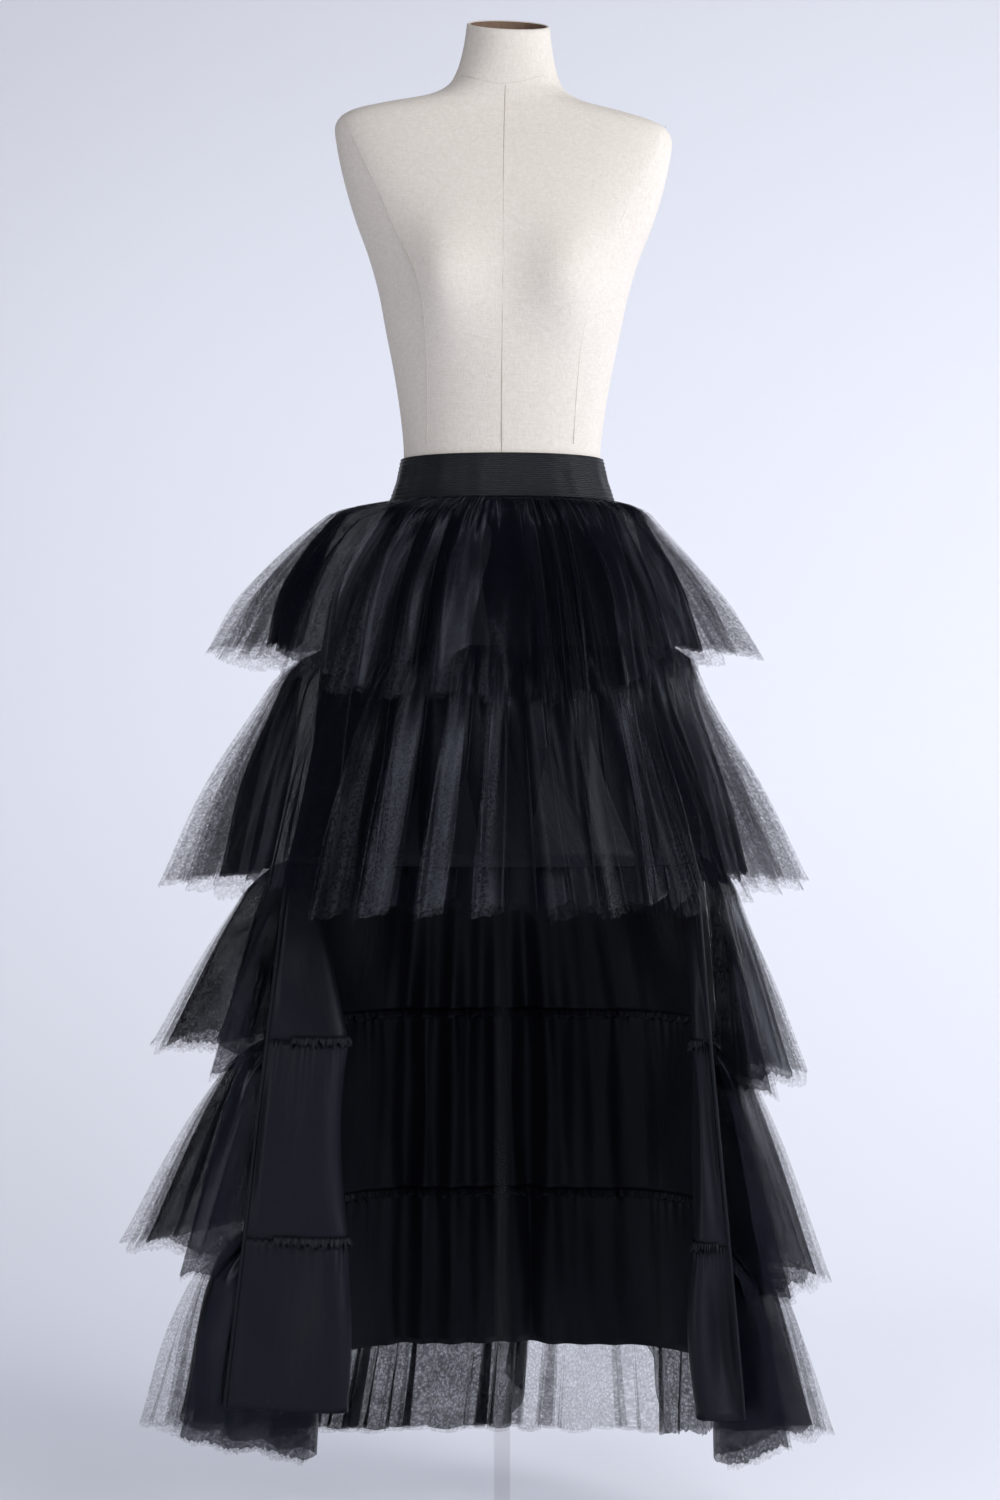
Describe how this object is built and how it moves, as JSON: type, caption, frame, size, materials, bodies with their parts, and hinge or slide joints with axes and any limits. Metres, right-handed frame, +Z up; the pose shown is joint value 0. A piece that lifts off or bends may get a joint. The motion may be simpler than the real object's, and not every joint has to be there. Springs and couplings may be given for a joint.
{
  "type": "tiered tulle skirt on a limbless dress form",
  "caption": "Long black tiered tulle skirt, open at the front below the thigh over a satin base, worn by a linen dress form on a round stand.",
  "frame": {"origin": "centre of the underside of the round stand, on the floor", "axes": "+Z up; the open front of the skirt faces -Y; +X is to the right of someone who looks at the front"},
  "size_m": [0.7996, 0.6559, 1.7341],
  "materials": {
    "black_elastic": "ribbed woven elastic, charcoal black",
    "black_satin": "soft satin, black with a faint blue cast",
    "black_tulle": "sheer fine net, black",
    "linen": "natural linen canvas, matt cream",
    "board_wood": "sealed plywood",
    "black_steel": "satin black powder coat",
    "clear_acrylic": "clear cast acrylic, polished"
  },
  "bodies": {
    "root": {"waistband": "black_elastic", "satin_upper_front": "black_satin", "satin_upper_back": "black_satin", "satin_row_3": "black_satin", "satin_row_4": "black_satin", "satin_row_5": "black_satin", "edge_binding_left": "black_satin", "edge_binding_right": "black_satin", "tulle_tier_1": "black_tulle", "tulle_tier_2": "black_tulle", "tulle_tier_3": "black_tulle", "tulle_tier_4": "black_tulle", "tulle_tier_5": "black_tulle", "form_torso": "linen", "form_base_board": "board_wood", "stand_flange": "black_steel", "stand_pole": "clear_acrylic", "stand_hub": "black_steel", "stand_base": "black_steel"}
  },
  "joints": []
}
